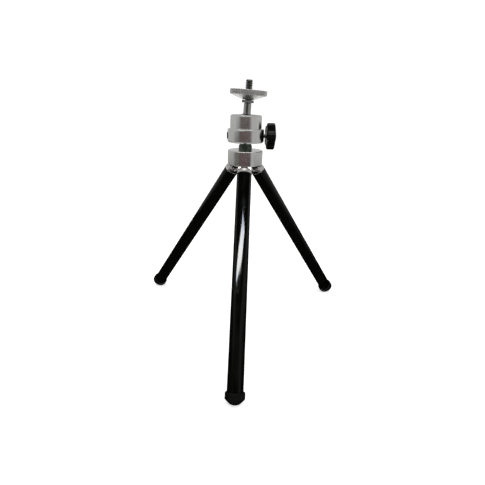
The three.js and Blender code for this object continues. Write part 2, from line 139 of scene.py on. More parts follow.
def rounded(corners, steps=4):
    """A profile from (radius, height, fillet) corners, in millimetres, with round corners."""
    profile = []
    count = len(corners)
    for index, (radius, height, fillet) in enumerate(corners):
        corner = Vector((radius, height))
        if not fillet or index in (0, count - 1):
            profile.append(corner)
            continue
        before = Vector(corners[index - 1][:2]) - corner
        after = Vector(corners[index + 1][:2]) - corner
        half = before.angle(after) / 2
        reach = min(fillet / math.tan(half), before.length * 0.49, after.length * 0.49)
        bend = reach * math.tan(half)
        middle = corner + (before.normalized() + after.normalized()).normalized() * bend / math.sin(half)
        start = corner + before.normalized() * reach - middle
        sweep = start.angle_signed(corner + after.normalized() * reach - middle)
        for step in range(steps + 1):
            spoke = start.copy()
            spoke.rotate(Matrix.Rotation(-sweep * step / steps, 2))
            profile.append(middle + spoke)
    return [(point.x, point.y) for point in profile]


def lathe(name, profile, segments=160, closed=False, shape=None, matrix=None):
    """Turns a profile of (radius, height) pairs, in millimetres, about Z."""
    builder = bmesh.new()
    columns = []
    for step in range(segments):
        angle = 2 * math.pi * step / segments
        column = []
        for row, (radius, height) in enumerate(profile):
            if radius == 0:
                column.append(columns[0][row] if step else builder.verts.new((0, 0, height * MM)))
                continue
            if shape:
                radius, height = shape(angle, radius, height)
            x = radius * MM * math.cos(angle)
            y = radius * MM * math.sin(angle)
            column.append(builder.verts.new((x, y, height * MM)))
        columns.append(column)
    rows = len(profile) if closed else len(profile) - 1
    for step in range(segments):
        here, there = columns[step], columns[(step + 1) % segments]
        for row in range(rows):
            up = (row + 1) % len(profile)
            corners = [here[row], there[row], there[up], here[up]]
            corners = list(dict.fromkeys(corners))
            if len(corners) > 2:
                builder.faces.new(corners)
    return new_object(name, builder, matrix)


def apply_modifiers(piece):
    """Bakes the piece's modifiers into its mesh."""
    graph = bpy.context.evaluated_depsgraph_get()
    baked = bpy.data.meshes.new_from_object(piece.evaluated_get(graph))
    piece.modifiers.clear()
    piece.data = baked
    return piece


def combine(piece, other, operation):
    """Cuts or joins the piece with another object, which is used up."""
    boolean = piece.modifiers.new("boolean", "BOOLEAN")
    boolean.operation = operation
    boolean.solver = "EXACT"
    boolean.object = other
    bpy.context.view_layer.update()
    apply_modifiers(piece)
    bpy.data.objects.remove(other)


def bevel(piece, width):
    """Rounds the piece's edges that are sharper than 35 degrees. The width is in millimetres."""
    modifier = piece.modifiers.new("bevel", "BEVEL")
    modifier.width = width * MM
    modifier.segments = 3
    modifier.limit_method = "ANGLE"
    modifier.angle_limit = math.radians(35)
    return apply_modifiers(piece)


def block(name, low, high, matrix=None):
    """A box between two corners, in millimetres, used as a cutter."""
    builder = bmesh.new()
    bmesh.ops.create_cube(builder, size=1)
    low, high = Vector(low) * MM, Vector(high) * MM
    for vertex in builder.verts:
        vertex.co = (low + high) / 2 + Vector(a * b for a, b in zip(vertex.co, high - low))
    return new_object(name, builder, matrix)


def cut(piece, *cutters):
    """Cuts each cutter away from the piece in turn."""
    for cutter in cutters:
        combine(piece, cutter, "DIFFERENCE")


THREAD_STEPS = 48


def threaded_rod(name, radius, root, pitch, low, high, tip_low=0.0, tip_high=0.0, matrix=None):
    """A right-hand helical thread about Z between two heights, with chamfered tips. Millimetres."""
    steps = THREAD_STEPS
    # Where in a pitch the crest, the two flanks and the root begin, and the radius there.
    rows = [(0.0, radius), (0.12, radius), (0.44, root), (0.68, root)]
    turns = int((high - low) / pitch) + 4
    builder = bmesh.new()
    grid = []
    for row in range(turns * len(rows)):
        share, reach = rows[row % len(rows)]
        line = []
        for step in range(steps):
            height = low + (row // len(rows) - 2 + share + step / steps) * pitch
            limit = reach
            if tip_high:
                limit = min(limit, radius - tip_high + max(0.0, high - height))
            if tip_low:
                limit = min(limit, radius - tip_low + max(0.0, height - low))
            angle = 2 * math.pi * step / steps
            line.append(builder.verts.new((
                limit * MM * math.cos(angle), limit * MM * math.sin(angle), height * MM)))
        grid.append(line)
    for row in range(len(grid) - 1):
        for step in range(steps):
            wrap = step == steps - 1
            lift = len(rows) if wrap else 0
            if row + 1 + lift >= len(grid):
                continue
            beside = (step + 1) % steps
            builder.faces.new([
                grid[row][step], grid[row + lift][beside],
                grid[row + 1 + lift][beside], grid[row + 1][step]])
    for height, side in ((low, -1), (high, 1)):
        everything = builder.verts[:] + builder.edges[:] + builder.faces[:]
        bmesh.ops.bisect_plane(
            builder, geom=everything, plane_co=(0, 0, height * MM), plane_no=(0, 0, side),
            clear_outer=True)
        rim = [
            edge for edge in builder.edges
            if edge.is_boundary and all(abs(v.co.z - height * MM) < 1e-7 for v in edge.verts)]
        bmesh.ops.contextual_create(builder, geom=rim)
    loose = [vertex for vertex in builder.verts if not vertex.link_faces]
    bmesh.ops.delete(builder, geom=loose, context="VERTS")
    return new_object(name, builder, matrix)


# ------------------------------------------------------------------ places

UP = Vector((0, 0, 1))
LIE_ALONG_X = Matrix.Rotation(math.pi / 2, 4, "Y")
LIE_ALONG_Y = Matrix.Rotation(math.pi / 2, 4, "X")

# The hub's axis, with its origin on the hub's top.
HUB_PLACE = Matrix.Translation((HUB_CENTRE.x, HUB_CENTRE.y, HUB_TOP))

# The leaning stem, with its origin in the ball's centre.
STEM_LEAN = UP.rotation_difference(STEM_AXIS).to_matrix().to_4x4()
STEM_PLACE = Matrix.Translation(BALL_CENTRE) @ STEM_LEAN

# The lock screw's axis, with its origin on the hub's axis and Z out towards the knob.
LOCK_ORIGIN = Matrix.Translation((HUB_CENTRE.x, HUB_CENTRE.y, LOCK_SPOT.z))
LOCK_TURN = math.atan2(joints["knob_turn"]["axis"][1], joints["knob_turn"]["axis"][0])
LOCK_PLACE = LOCK_ORIGIN @ Matrix.Rotation(LOCK_TURN, 4, "Z") @ LIE_ALONG_X


def leg_place(name):
    """The frame of a leg: its origin on the hinge pin, Z up the leg, Y along the pin."""
    joint = joints[f"fold_{name}"]
    pin = Vector(joint["axis"]).normalized()
    outward = pin.cross(UP)
    up = Vector((0, 0, math.cos(LEG_SPLAY))) - outward * math.sin(LEG_SPLAY)
    across = pin.cross(up)
    axes = Matrix((across, pin, up)).transposed().to_4x4()
    return Matrix.Translation(joint["pos_m"]) @ axes


def leg_side(name):
    """The hub's place turned so that X points out towards a leg."""
    outward = Vector(joints[f"fold_{name}"]["axis"]).cross(UP)
    return HUB_PLACE @ Matrix.Rotation(math.atan2(outward.y, outward.x), 4, "Z")


# ------------------------------------------------------------------ material helpers


class Nodes:
    """Short names for building a node tree."""

    def __init__(self, name):
        self.material = bpy.data.materials.new(name)
        self.material.use_nodes = True
        self.tree = self.material.node_tree
        self.shader = self.tree.nodes["Principled BSDF"]
        self.place = self.tree.nodes.new("ShaderNodeTexCoord").outputs["Object"]

    def link(self, source, target):
        self.tree.links.new(source, target)

    def set(self, **values):
        for name, value in values.items():
            self.shader.inputs[name.replace("_", " ")].default_value = value

    def math(self, operation, first, second=0.0):
        node = self.tree.nodes.new("ShaderNodeMath")
        node.operation = operation
        for socket, value in zip(node.inputs, (first, second)):
            if isinstance(value, (int, float)):
                socket.default_value = value
            else:
                self.link(value, socket)
        return node.outputs[0]

    def noise(self, scale, detail=2.0, coordinate=None, roughness=0.5):
        node = self.tree.nodes.new("ShaderNodeTexNoise")
        node.inputs["Scale"].default_value = scale
        node.inputs["Detail"].default_value = detail
        node.inputs["Roughness"].default_value = roughness
        self.link(coordinate or self.place, node.inputs["Vector"])
        return node.outputs["Fac"]

    def ramp(self, value, low, high, to_low, to_high):
        node = self.tree.nodes.new("ShaderNodeMapRange")
        names = ("From Min", "From Max", "To Min", "To Max")
        for name, number in zip(names, (low, high, to_low, to_high)):
            node.inputs[name].default_value = number
        self.link(value, node.inputs["Value"])
        return node.outputs["Result"]

    def mix(self, factor, first, second):
        node = self.tree.nodes.new("ShaderNodeMix")
        node.data_type = "RGBA"
        self.link(factor, node.inputs[0])
        for socket, colour in ((node.inputs[6], first), (node.inputs[7], second)):
            if isinstance(colour, tuple):
                socket.default_value = (*colour, 1)
            else:
                self.link(colour, socket)
        return node.outputs[2]

    def vector(self, operation, first, second, output=0):
        node = self.tree.nodes.new("ShaderNodeVectorMath")
        node.operation = operation
        for socket, value in zip(node.inputs, (first, second)):
            if isinstance(value, (tuple, Vector)):
                socket.default_value = value
            else:
                self.link(value, socket)
        return node.outputs[output]

    def turning(self, place, around, across):
        """A coordinate for rings about a place's Z axis: fast along the tool's feed, slow around."""
        axis = place.to_3x3() @ UP
        local = self.vector("SUBTRACT", self.place, place.translation)
        along = self.vector("DOT_PRODUCT", local, axis, 1)
        spine = self.tree.nodes.new("ShaderNodeVectorMath")
        spine.operation = "SCALE"
        spine.inputs[0].default_value = axis
        self.link(along, spine.inputs["Scale"])
        across_axis = self.vector("SUBTRACT", local, spine.outputs[0])
        radius = self.vector("LENGTH", across_axis, (0.0, 0.0, 0.0), 1)
        feed = self.math("MULTIPLY", self.math("ADD", radius, along), across)
        split = self.tree.nodes.new("ShaderNodeSeparateXYZ")
        self.link(self.vector("MULTIPLY", across_axis, (around, around, around)), split.inputs[0])
        join = self.tree.nodes.new("ShaderNodeCombineXYZ")
        self.link(self.math("ADD", split.outputs[0], feed), join.inputs[0])
        self.link(self.math("SUBTRACT", split.outputs[1], feed), join.inputs[1])
        self.link(self.math("ADD", split.outputs[2], self.math("MULTIPLY", feed, 0.7)), join.inputs[2])
        return join.outputs[0]

    def edges(self, radius):
        """1 on sharp edges, 0 on flat faces."""
        soft = self.tree.nodes.new("ShaderNodeBevel")
        soft.samples = 4
        soft.inputs["Radius"].default_value = radius
        geometry = self.tree.nodes.new("ShaderNodeNewGeometry")
        product = self.tree.nodes.new("ShaderNodeVectorMath")
        product.operation = "DOT_PRODUCT"
        self.link(soft.outputs[0], product.inputs[0])
        self.link(geometry.outputs["Normal"], product.inputs[1])
        return self.ramp(product.outputs["Value"], 0.995, 0.9, 0.0, 1.0)

    def bump(self, height, distance):
        """Relief of a distance in millimetres."""
        node = self.tree.nodes.new("ShaderNodeBump")
        node.inputs["Strength"].default_value = 1.0
        node.inputs["Distance"].default_value = distance * MM
        self.link(height, node.inputs["Height"])
        self.link(node.outputs["Normal"], self.shader.inputs["Normal"])

    def colour(self, source):
        self.link(source, self.shader.inputs["Base Color"])

    def rough(self, source):
        self.link(source, self.shader.inputs["Roughness"])

    def blend(self, first, first_share, second, second_share):
        """The sum of two values, each times its share."""
        return self.math(
            "ADD", self.math("MULTIPLY", first, first_share), self.math("MULTIPLY", second, second_share))

    def mottle(self, value, dark, light):
        """Goes from the dark colour to the light one as the value passes its middle."""
        return self.mix(self.ramp(value, 0.38, 0.62, 0.0, 1.0), dark, light)

    def edge_wear_and_highlight(self, radius, share, under, colour):
        """A lighter colour laid on the sharp edges, over the colour under it: part edge wear, part
        painted highlight. The radius is in millimetres.
        """
        return self.mix(self.math("MULTIPLY", self.edges(radius * MM), share), under, colour)

    def tangent(self):
        node = self.tree.nodes.new("ShaderNodeTangent")
        node.direction_type = "RADIAL"
        node.axis = "Z"
        self.link(node.outputs[0], self.shader.inputs["Tangent"])


def turned_metal(name, place, dark, light, roughness, anisotropy, groove):
    """Metal straight off a lathe: fine rings, soft smudges and brighter edges, part wear and part painted
    highlight.
    """
    nodes = Nodes(name)
    nodes.set(Metallic=1.0, Anisotropic=anisotropy, Anisotropic_Rotation=0.25)
    nodes.tangent()
    rings = nodes.noise(1.0, 3.0, nodes.turning(place, 40.0, 5200.0), 0.6)
    wide_rings = nodes.noise(1.0, 1.0, nodes.turning(place, 15.0, 900.0))
    smudge = nodes.noise(150.0, 4.0)
    colour = nodes.mottle(nodes.blend(rings, 0.4, smudge, 0.6), dark, light)
    # Lighter sharp edges: part wear, part painted highlight.
    nodes.colour(nodes.edge_wear_and_highlight(0.2, 0.6, colour, (0.95, 0.95, 0.94)))
    nodes.rough(nodes.ramp(nodes.blend(wide_rings, 0.5, smudge, 0.5), 0.35, 0.65, *roughness))
    nodes.bump(rings, groove)
    return nodes.material


def plated_metal(name, dark, light, roughness):
    """Bright plating with faint waviness, wiping marks, specks and lighter edges, part wear and part
    painted highlight.
    """
    nodes = Nodes(name)
    nodes.set(Metallic=1.0)
    smudge = nodes.noise(220.0, 5.0)
    specks = nodes.noise(2600.0, 2.0)
    # Lighter sharp edges: part wear, part painted highlight.
    nodes.colour(nodes.edge_wear_and_highlight(0.2, 0.5, nodes.mottle(smudge, dark, light), (0.85, 0.85, 0.84)))
    nodes.rough(nodes.ramp(smudge, 0.35, 0.65, *roughness))
    nodes.bump(specks, 0.003)
    return nodes.material


def black_lacquer(name, place):
    """Gloss-black enamel on a tube: orange peel, hairline scratches along it and dust."""
    nodes = Nodes(name)
    nodes.set(Metallic=0.0, IOR=1.3)
    cloud = nodes.noise(90.0, 4.0)
    dust = nodes.noise(2600.0, 2.0)
    stretch = nodes.tree.nodes.new("ShaderNodeMapping")
    stretch.vector_type = "TEXTURE"
    stretch.inputs["Rotation"].default_value = place.to_euler()
    stretch.inputs["Scale"].default_value = (0.02, 0.02, 1.0)
    nodes.link(nodes.place, stretch.inputs["Vector"])
    scratch = nodes.noise(40.0, 2.0, stretch.outputs[0])
    colour = nodes.mottle(cloud, (0.0012, 0.0014, 0.0011), (0.0022, 0.0023, 0.0019))
    nodes.colour(nodes.mix(nodes.ramp(dust, 0.68, 0.8, 0.0, 0.25), colour, (0.02, 0.02, 0.019)))
    sheen = nodes.ramp(cloud, 0.35, 0.65, 0.05, 0.09)
    nodes.rough(nodes.math("ADD", sheen, nodes.ramp(scratch, 0.6, 0.75, 0.0, 0.06)))
    nodes.bump(nodes.noise(700.0, 1.0), 0.004)
    return nodes.material


def moulded(name, ior, dark, light, roughness, grain, depth, edge):
    """Moulded plastic or rubber: fine grain, cloudy sheen and lighter edges, part rubbing and part
    painted highlight.
    """
    nodes = Nodes(name)
    nodes.set(Metallic=0.0, IOR=ior)
    cloud = nodes.noise(140.0, 4.0)
    fine = nodes.noise(grain, 3.0)
    # Lighter sharp edges: part rubbing, part painted highlight.
    nodes.colour(nodes.edge_wear_and_highlight(0.3, 0.5, nodes.mottle(cloud, dark, light), edge))
    nodes.rough(nodes.ramp(cloud, 0.35, 0.65, *roughness))
    nodes.bump(fine, depth)
    return nodes.material


# Each takes a dark and a light colour, a range of roughness, and more as its function says.
turned_aluminium = turned_metal(
    "turned_aluminium", HUB_PLACE, (0.84, 0.84, 0.825), (0.93, 0.93, 0.915), (0.18, 0.26), 0.6, 0.002)
disc_aluminium = turned_metal(
    "disc_aluminium", STEM_PLACE, (0.80, 0.80, 0.785), (0.90, 0.90, 0.885), (0.24, 0.34), 0.4, 0.003)
polished_steel = turned_metal(
    "polished_steel", STEM_PLACE, (0.44, 0.44, 0.43), (0.53, 0.53, 0.52), (0.1, 0.18), 0.2, 0.0015)
# The neck's chrome gets dark greenish colours: a painted dark reflection of its surroundings.
neck_chrome_painted_dark_reflection = plated_metal("neck_chrome_painted_dark_reflection", (0.10, 0.125, 0.10), (0.17, 0.20, 0.165), (0.34, 0.44))
ferrule_chrome = plated_metal("ferrule_chrome", (0.72, 0.71, 0.70), (0.84, 0.82, 0.81), (0.14, 0.24))
screw_steel = plated_metal("screw_steel", (0.42, 0.42, 0.41), (0.55, 0.55, 0.54), (0.15, 0.28))
# The nut's steel is painted darker than the stem's steel: painted shade under the disc.
nut_steel_painted_shade = plated_metal("nut_steel_painted_shade", (0.20, 0.20, 0.195), (0.30, 0.30, 0.29), (0.18, 0.32))
# The cross plug is painted near black: painted shade of the hole it sits in.
plug_steel_painted_shade = plated_metal("plug_steel_painted_shade", (0.012, 0.012, 0.012), (0.03, 0.03, 0.029), (0.35, 0.5))
zinc_steel = plated_metal("zinc_steel", (0.16, 0.16, 0.155), (0.27, 0.27, 0.26), (0.25, 0.45))
black_plastic = moulded(
    "black_plastic", 1.4, (0.0016, 0.0016, 0.0015), (0.0035, 0.0035, 0.0033), (0.18, 0.3), 1800.0, 0.008,
    (0.012, 0.012, 0.012))
black_rubber = moulded(
    "black_rubber", 1.3, (0.0022, 0.0025, 0.0022), (0.005, 0.0053, 0.0047), (0.45, 0.65), 1200.0, 0.03,
    (0.02, 0.02, 0.019))
white_nylon = moulded(
    "white_nylon", 1.5, (0.68, 0.66, 0.60), (0.78, 0.76, 0.70), (0.35, 0.5), 1500.0, 0.01,
    (0.82, 0.8, 0.75))
gloss_black = {name: black_lacquer(f"gloss_black_{name}", leg_place(name)) for name in LEG_NAMES}


def place(piece, body, material, slot_name, *nodes):
    """Gives a finished piece its material and its body, and hides the CAD nodes it stands for. The slot
    name is not used.
    """
    piece.data.materials.clear()
    piece.data.materials.append(material)
    smooth(piece)
    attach(piece, body)
    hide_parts(*nodes)
    return piece


# ------------------------------------------------------------------ hub and neck

HUB_BORE = 2.3
COUNTERBORE_RADIUS = 3.4
COUNTERBORE_DEPTH = 3.6
POCKET_OUTER = 14.3
POCKET_HALF_WIDTH = 3.4
PIVOT_RADIUS = 8.145
PIVOT_DEPTH = 10.232
PIVOT_ROOM = 3.7
PIN_RADIUS = 1.2
PIN_LENGTH = 13.0
WAIST = 0.55


def make_hub():
    profile = rounded([
        (HUB_BORE, 0.0, 0),
        (HUB_BORE, -HUB_HEIGHT + COUNTERBORE_DEPTH, 0),
        (COUNTERBORE_RADIUS, -HUB_HEIGHT + COUNTERBORE_DEPTH, 0),
        (COUNTERBORE_RADIUS, -HUB_HEIGHT, 0.2),
        (HUB_RADIUS - 0.5, -HUB_HEIGHT, 0.15),
        (HUB_RADIUS, -HUB_HEIGHT + 0.5, 0.3),
        (HUB_RADIUS, -0.45, 0.3),
        (HUB_RADIUS - 0.45, 0, 0.15),
        (HUB_BORE, 0, 0),
    ])[:-1]
    hub = lathe("hub_body_turned", profile, 192, closed=True, matrix=HUB_PLACE)
    below = -(HUB_HEIGHT + 1)
    half_pin = PIN_RADIUS + 0.1
    half_length = PIN_LENGTH / 2 + 0.2
    for name in LEG_NAMES:
        pocket = block(
            "pocket", (PIVOT_RADIUS - PIVOT_ROOM, -POCKET_HALF_WIDTH, below),
            (POCKET_OUTER, POCKET_HALF_WIDTH, -PIVOT_DEPTH + PIVOT_ROOM), leg_side(name))
        groove = block(
            "groove", (PIVOT_RADIUS - half_pin, -half_length, below),
            (PIVOT_RADIUS + half_pin, half_length, -PIVOT_DEPTH + half_pin), leg_side(name))
        cut(hub, bevel(pocket, 0.6), groove)
    return place(hub, "base", turned_aluminium, "turned_aluminium", "hub_body")


def make_hub_screw():
    head = -HUB_HEIGHT + 0.3
    profile = rounded([
        (0, head, 0), (2.9, head, 0.35), (2.9, head + 3, 0.1), (1.9, head + 3, 0.1), (1.9, 4.6, 0),
        (1.5, 5, 0), (0, 5, 0)])
    screw = lathe("hub_screw_turned", profile, 64, matrix=HUB_PLACE)
    cut(screw, block("slot", (-4, -0.45, head - 1), (4, 0.45, head + 1), HUB_PLACE))
    return place(screw, "base", zinc_steel, "zinc_steel", "hub_screw")


def make_neck():
    waist = NECK_RADIUS - WAIST
    spigot = HOUSING_BASE + 2.6
    profile = rounded([
        (0, 5.6, 0), (2.2, 5.6, 0), (2.2, 0, 0.1), (NECK_RADIUS, 0, 0.25), (NECK_RADIUS, 3.5, 0.45),
        (waist, 4.3, 0.5), (waist, HOUSING_BASE - 0.5, 0.3), (NECK_RADIUS - 0.9, HOUSING_BASE, 0.1),
        (3, HOUSING_BASE, 0), (3, spigot, 0.2), (0, spigot, 0)])
    piece = lathe("neck_turned", profile, 128, matrix=HUB_PLACE)
    return place(piece, "base", neck_chrome_painted_dark_reflection, "chromed_steel", "neck")


def make_pin(name):
    half = PIN_LENGTH / 2
    profile = rounded([(0, -half, 0), (PIN_RADIUS, -half, 0.3), (PIN_RADIUS, half, 0.3), (0, half, 0)])
    spot = Matrix.Translation((PIVOT_RADIUS * MM, 0, -PIVOT_DEPTH * MM))
    pin = lathe(f"hinge_pin_{name}_turned", profile, 40, matrix=leg_side(name) @ spot @ LIE_ALONG_Y)
    return place(pin, "base", zinc_steel, "zinc_steel", f"hinge_pin_{name}")


# ------------------------------------------------------------------ ball housing

CAVITY_RADIUS = 10.8
CAVITY_SHOULDER = 14.4
CAVITY_FLOOR = 10.0
SOCKET_RADIUS = 10.3
HOUSING_BORE = 3.3
SCREW_HOLE = 2.3
PLUG_HOLE = 3
SEAT_LOW = 14.6
SEAT_HIGH = 17.9
CROSS_PLUG_RADIUS = 2.85
CROSS_PLUG_INNER = -11.3
CROSS_PLUG_OUTER = -16.45


def make_housing():
    radius, base, top = HOUSING_RADIUS, HOUSING_BASE, HOUSING_TOP
    profile = rounded([
        (HOUSING_BORE, CAVITY_FLOOR, 0),
        (HOUSING_BORE, base, 0.1),
        (radius - 0.8, base, 0.3),
        (radius, base + 1.2, 0.6),
        (radius, top - 1.3, 0.3),
        (radius - 0.4, top - 0.4, 0.1),
        (radius - 0.85, top, 0.15),
        (CAVITY_RADIUS, top, 0.1),
        (CAVITY_RADIUS, CAVITY_SHOULDER, 0.3),
        (6, CAVITY_FLOOR, 0.3),
        (HOUSING_BORE, CAVITY_FLOOR, 0),
    ])[:-1]
    housing = lathe("ball_housing_turned", profile, 192, closed=True, matrix=HUB_PLACE)
    screw_sink = SCREW_HOLE + 0.8
    plug_sink = PLUG_HOLE + 0.5
    holes = [
        (48, [(0, 4), (SCREW_HOLE, 4), (SCREW_HOLE, 20), (0, 20)]),
        (48, [(0, 15.3), (SCREW_HOLE, 15.3), (screw_sink, 16.6), (0, 16.6)]),
        (64, [(0, -20), (PLUG_HOLE, -20), (PLUG_HOLE, -4), (0, -4)]),
        (64, [(0, -17), (plug_sink, -17), (plug_sink, -15.6), (PLUG_HOLE, -15.1), (0, -15.1)])]
    for sides, outline in holes:
        cut(housing, lathe("hole", outline, sides, matrix=LOCK_PLACE))
    return place(housing, "base", turned_aluminium, "turned_aluminium", "ball_housing")


def make_cap():
    radius, base, top = CAP_RADIUS, HOUSING_TOP, CAP_TOP
    outside = rounded([
        (SOCKET_RADIUS + 0.1, base, 0), (radius - 0.25, base, 0), (radius - 0.25, base + 0.35, 0.05),
        (radius, base + 0.6, 0.1), (radius, top, 1.6), (9.6, top, 0.35),
        (7.55, BALL_HEIGHT + 6.95, 0)], 6)
    lip = math.acos(7.6 / SOCKET_RADIUS)
    socket = []
    for step in range(9):
        angle = lip * (1 - step / 8)
        socket.append((SOCKET_RADIUS * math.cos(angle), BALL_HEIGHT + SOCKET_RADIUS * math.sin(angle)))
    cap = lathe("housing_cap_turned", outside[:-1] + socket, 192, closed=True, matrix=HUB_PLACE)
    return place(cap, "base", turned_aluminium, "turned_aluminium", "housing_cap")


def make_ball_seat():
    rows = [(CAVITY_RADIUS - 0.2, SEAT_LOW), (CAVITY_RADIUS - 0.2, SEAT_HIGH)]
    for step in range(5):
        height = SEAT_HIGH - (SEAT_HIGH - SEAT_LOW) * step / 4
        rows.append((math.sqrt(SOCKET_RADIUS ** 2 - (height - BALL_HEIGHT) ** 2), height))
    seat = lathe("ball_seat_ring", rows, 96, closed=True, matrix=HUB_PLACE)
    return place(seat, "base", white_nylon, "white_nylon", "ball_seat")


def make_cross_plug():
    profile = rounded([
        (0, CROSS_PLUG_OUTER, 0), (CROSS_PLUG_RADIUS, CROSS_PLUG_OUTER, 0.3),
        (CROSS_PLUG_RADIUS, CROSS_PLUG_INNER, 0.2), (0, CROSS_PLUG_INNER, 0)])
    plug = lathe("cross_plug_turned", profile, 64, matrix=LOCK_PLACE)
    cut(plug, lathe("socket", [(0, -18), (1.5, -18), (1.5, -13.4), (0, -13)], 6, matrix=LOCK_PLACE))
    return place(plug, "base", plug_steel_painted_shade, "zinc_steel", "cross_plug")


# ------------------------------------------------------------------ lock screw and knob

SCREW_RADIUS = 2.0
SCREW_PITCH = 0.7
THREAD_DEPTH = 0.38
SCREW_TIP = 12.3
KNOB_LOBES = 5
KNOB_RADIUS = 9.95
LOBE_HEIGHT = 1.6
KNOB_FACE = 18.2
KNOB_END = 26.5


def make_lock_screw():
    screw = threaded_rod(
        "lock_screw_thread", SCREW_RADIUS, SCREW_RADIUS - THREAD_DEPTH, SCREW_PITCH, SCREW_TIP,
        KNOB_FACE + 5.2, tip_low=0.6, matrix=LOCK_PLACE)
    return place(screw, "screw", screw_steel, "polished_steel", "lock_screw")


def make_brake_plug():
    end = SCREW_TIP - 0.3
    profile = rounded([
        (0, 6.0, 0), (0.35, 6.1, 0), (SCREW_RADIUS, 8.05, 0.3), (SCREW_RADIUS, end, 0.2), (0, end, 0)])
    plug = lathe("brake_plug_point", profile, 48, matrix=LOCK_PLACE)
    return place(plug, "screw", white_nylon, "white_nylon", "brake_plug")


# A profile radius of this or more lies on an outline that isn't round, less the rest as an inset.
ON_OUTLINE = 100.0


def knob_radius(angle):
    """Radius of the knob's outline in millimetres: five broad round lobes, rounded hollows."""
    wave = math.cos(KNOB_LOBES * angle)
    bulge = math.copysign(abs(wave) ** 0.6, wave)
    return KNOB_RADIUS + LOBE_HEIGHT * bulge


def knob_shape(angle, radius, height):
    """Keeps the round rows, and lays the others inside the lobed outline."""
    if radius < ON_OUTLINE:
        return radius, height
    inset = radius - ON_OUTLINE
    outline = knob_radius(angle)
    return outline - inset - 0.5 * inset * (outline - KNOB_RADIUS) / 5, height


def make_knob():
    thick = KNOB_END - KNOB_FACE
    inner = [(0, 5.5), (2.3, 5.5), (2.3, 0.4), (2.6, 0.0), (4.4, 0.0), (4.7, 0.5), (5.2, 0.8)]
    # Insets from the outline and heights, first near the inner face and then near the outer one.
    lobes = [
        (2.2, 0.6), (0.9, 0.0), (0.35, 0.18), (0.06, 0.6), (0.0, 1.2), (0.0, thick - 2.4),
        (0.1, thick - 1.9), (0.35, thick - 1.55), (0.8, thick - 1.3), (2.4, thick - 0.85),
        (4.2, thick - 0.45)]
    outer = [(4.3, thick - 0.12), (3.9, thick - 0.5), (1.9, thick - 0.62), (0, thick - 0.65)]
    profile = inner + [(ON_OUTLINE + inset, height) for inset, height in lobes] + outer
    turn = Matrix.Rotation(-math.pi / 2, 4, "Z")
    lift = Matrix.Translation((0, 0, KNOB_FACE * MM))
    knob = lathe("lock_knob_moulded", profile, 240, shape=knob_shape, matrix=LOCK_PLACE @ lift @ turn)
    return place(knob, "knob", black_plastic, "black_plastic", "lock_knob")


# ------------------------------------------------------------------ ball, stem, nut, disc and stud

STEM_RADIUS = 3.25
STEM_TOP = 17.8
NUT_BASE = 18.1
NUT_HEIGHT = 2.25
NUT_FLATS = 10.0
DISC_BASE = 20.7
DISC_TOP = 28.3
DISC_RIM = 4.0
DISC_RADIUS = 15.7
STUD_RADIUS = INCH / 8
STUD_PITCH = INCH / 20
STUD_THREAD_DEPTH = 0.72
STUD_TOP = 36.1
STUD_BORE = STUD_RADIUS + 0.25
KNURLS = 72
KNURL_DEPTH = 0.6


def make_ball():
    steps = 64
    profile = [(0, -BALL_RADIUS)]
    for step in range(1, steps):
        angle = math.pi * step / steps
        profile.append((BALL_RADIUS * math.sin(angle), -BALL_RADIUS * math.cos(angle)))
    profile.append((0, BALL_RADIUS))
    ball = lathe("ball_polished", profile, 128, matrix=STEM_PLACE)
    return place(ball, "ball", polished_steel, "polished_steel", "ball")


def make_stem():
    foot = SOCKET_RADIUS - 0.2
    flare_radius = STEM_RADIUS + 0.35
    profile = [(0, foot)]
    for step in range(1, 7):
        radius = flare_radius * step / 6
        profile.append((radius, math.sqrt(foot ** 2 - radius ** 2)))
    flare = profile[-1][1]
    profile += rounded([
        (flare_radius, flare, 0), (STEM_RADIUS, flare + 0.6, 0.5), (STEM_RADIUS, STEM_TOP, 0.3),
        (0, STEM_TOP, 0)])[1:]
    stem = lathe("ball_stem_turned", profile, 96, matrix=STEM_PLACE)
    return place(stem, "stem", polished_steel, "polished_steel", "ball_stem")


def nut_shape(angle, radius, height):
    """Keeps the round rows, and lays the others on a hexagon with chamfered corners."""
    if radius < ON_OUTLINE:
        return radius, height
    half = NUT_FLATS / 2
    side = math.pi / 3
    reach = half / math.cos((angle + side / 2) % side - side / 2)
    drop = max(0.0, reach - half * 0.97) * math.tan(math.radians(30))
    if height > NUT_BASE + NUT_HEIGHT / 2:
        return reach, NUT_BASE + NUT_HEIGHT - drop
    return reach, NUT_BASE + drop


def make_nut():
    flat = NUT_FLATS / 2 * 0.97
    top = NUT_BASE + NUT_HEIGHT
    profile = [
        (STUD_BORE, NUT_BASE + 0.3), (STUD_BORE + 0.35, NUT_BASE), (flat, NUT_BASE),
        (ON_OUTLINE, NUT_BASE), (ON_OUTLINE, top), (flat, top), (STUD_BORE + 0.35, top),
        (STUD_BORE, top - 0.3)]
    nut = lathe("jam_nut_hexagon", profile, 120, closed=True, shape=nut_shape, matrix=STEM_PLACE)
    return place(nut, "nut", nut_steel_painted_shade, "polished_steel", "jam_nut")


def disc_shape(angle, radius, height):
    """Cuts the grooves of the knurl into the rim."""
    edge = min(1.0, max(0.0, (radius - DISC_RADIUS + 0.5) / 0.35))
    phase = (angle * KNURLS / (2 * math.pi)) % 1.0
    valley = max(0.0, 1.0 - abs(phase - 0.5) / 0.32)
    return radius - KNURL_DEPTH * edge * valley, height


